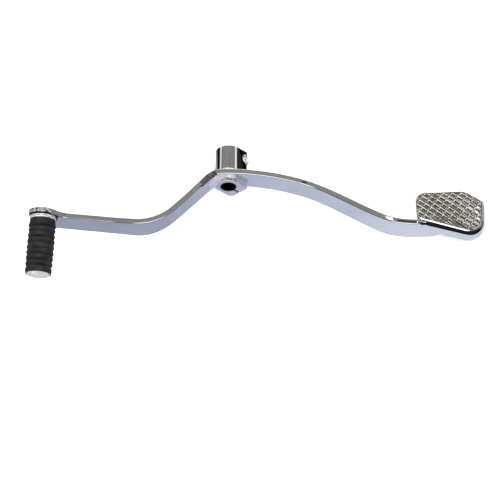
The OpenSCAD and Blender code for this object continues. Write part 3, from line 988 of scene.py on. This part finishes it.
def make_world():
    """Soft studio: grey dome, dark horizon, a pale backdrop behind, soft boxes above and beside."""
    world = bpy.data.worlds.new("studio")
    bpy.context.scene.world = world
    world.use_nodes = True
    tree = world.node_tree
    way = add_node(tree, "ShaderNodeTexCoord").outputs["Generated"]
    split = add_node(tree, "ShaderNodeSeparateXYZ", {"Vector": way})
    height = add_node(tree, "ShaderNodeMapRange", {
        "Value": split.outputs["Z"], "From Min": -1.0, "From Max": 1.0,
    })
    total = grey_ramp(tree, height.outputs["Result"], [
        (0.4, (0.4, 0.42, 0.5)), (0.45, (0.03, 0.022, 0.02)), (0.57, (0.03, 0.022, 0.02)),
        (0.68, (0.25, 0.235, 0.215)), (1.0, (0.29, 0.28, 0.26)),
    ])
    front = add_node(tree, "ShaderNodeMapRange", {
        "Value": split.outputs["Y"], "From Min": -0.3, "From Max": 0.0, "To Min": 0.08, "To Max": 1.0,
    }, interpolation_type="SMOOTHSTEP")
    total = add_node(tree, "ShaderNodeVectorMath", {0: total, 3: front.outputs["Result"]},
                     operation="SCALE").outputs["Vector"]

    def add_light(mask, colour):
        """Adds a colour where the mask is 1."""
        nonlocal total
        mix = add_node(tree, "ShaderNodeMix", data_type="RGBA", blend_type="ADD")
        mix.inputs["Factor"].default_value = 1.0
        lit = add_node(tree, "ShaderNodeMix", data_type="RGBA", blend_type="MIX")
        tree.links.new(mask, lit.inputs["Factor"])
        lit.inputs["A"].default_value = (0, 0, 0, 1)
        lit.inputs["B"].default_value = (*colour, 1)
        tree.links.new(total, mix.inputs["A"])
        tree.links.new(lit.outputs["Result"], mix.inputs["B"])
        total = mix.outputs["Result"]

    def smooth(value, low, high):
        """Mask that rises from 0 at low to 1 at high."""
        inputs = {"Value": value, "From Min": low, "From Max": high}
        return add_node(tree, "ShaderNodeMapRange", inputs, interpolation_type="SMOOTHSTEP").outputs["Result"]

    def box_light(direction, far, near, colour):
        """Round soft light in a direction. Far and near are cosines of where it starts and is full."""
        aim = Vector(direction).normalized()
        dot = add_node(tree, "ShaderNodeVectorMath", {0: way, 1: aim}, operation="DOT_PRODUCT")
        add_light(smooth(dot.outputs["Value"], far, near), colour)

    behind = smooth(split.outputs["Y"], 0.76, 0.86)
    low = smooth(split.outputs["Z"], 0.55, 0.4)
    both = add_node(tree, "ShaderNodeMath", {0: behind, 1: low}, operation="MULTIPLY").outputs["Value"]
    add_light(both, (1.9, 1.87, 1.8))
    box_light((0, -0.1, 1), 0.966, 0.986, (1.9, 1.9, 1.92))
    box_light((-0.84, 0.49, 0.25), 0.985, 0.993, (0.75, 0.73, 0.66))
    box_light((0.81, 0.49, 0.33), 0.982, 0.992, (0.8, 0.76, 0.72))
    dark_spot = Vector((0.143, 0.5, 0.854)).normalized()
    card = add_node(tree, "ShaderNodeVectorMath", {0: way, 1: dark_spot}, operation="DOT_PRODUCT")
    shade = add_node(tree, "ShaderNodeMapRange", {
        "Value": card.outputs["Value"], "From Min": 0.9972, "From Max": 0.999, "To Min": 1.0, "To Max": 0.22,
    }, interpolation_type="SMOOTHSTEP")
    total = add_node(tree, "ShaderNodeVectorMath", {0: total, 3: shade.outputs["Result"]},
                     operation="SCALE").outputs["Vector"]
    tree.links.new(total, tree.nodes["Background"].inputs["Color"])


def make_lamp(name, place, size, power, aim=(0, 0, 0)):
    """Square lamp that lights the scene without showing in the chrome, in metres and watts."""
    data = bpy.data.lights.new(name, "AREA")
    data.size = size
    data.energy = power
    lamp = bpy.data.objects.new(name, data)
    lamp.location = place
    lamp.rotation_euler = (Vector(aim) - Vector(place)).to_track_quat("-Z", "Y").to_euler()
    lamp.visible_glossy = False
    bpy.context.scene.collection.objects.link(lamp)
    return lamp


def make_glint():
    """Small narrow lamp that shows only in the chrome, as the bright spot at the bar's rear bend."""
    glint = make_lamp("glint", (0.214, 0.108, 0.243), 0.035, 0.00005, (0.105, -0.04, -0.01))
    glint.visible_glossy = True
    glint.visible_diffuse = False
    glint.data.spread = math.radians(13)


def make_camera():
    """Camera in front of the object, looking down at it."""
    tilt = 29
    data = bpy.data.cameras.new("camera")
    data.lens = 82.8
    data.sensor_width = 36
    data.clip_start, data.clip_end = 0.01, 10
    camera = bpy.data.objects.new("camera", data)
    camera.location = (14.21 * MM, -416.66 * MM, 641.56 * MM)
    camera.rotation_euler = (math.radians(tilt), 0, 0)
    bpy.context.scene.collection.objects.link(camera)
    bpy.context.scene.camera = camera


def finish_cad_node(node, material):
    """A carried-over CAD part gets its finish."""
    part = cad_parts[node]
    part.data.materials.clear()
    part.data.materials.append(material)


make_camera()
make_lever_bar()
make_hub()
make_hub_welds()
make_pinch_bolt()
make_toe_pin()
make_toe_sleeve()
make_toe_rubber()
make_pad_body()
make_tread()
finish_cad_node("lock_washer", spring_steel)
finish_cad_node("toe_thrust_washer", nylon)
finish_cad_node("heel_weld", weld_chrome_painted_reflection)
for washer in ("plain_washer", "toe_rivet_washer", "toe_end_washer"):
    finish_cad_node(washer, zinc)
make_floor()
make_world()
make_lamp("key", (0.1, -0.25, 0.9), 1.3, 15)
make_lamp("fill_left", (-0.8, -0.3, 0.5), 0.6, 5)
make_lamp("fill_front", (0.2, -0.9, 0.5), 0.6, 5)
make_lamp("fill_back", (0.3, 0.8, 0.6), 0.6, 5)
make_glint()
bpy.context.scene.view_settings.view_transform = "Standard"
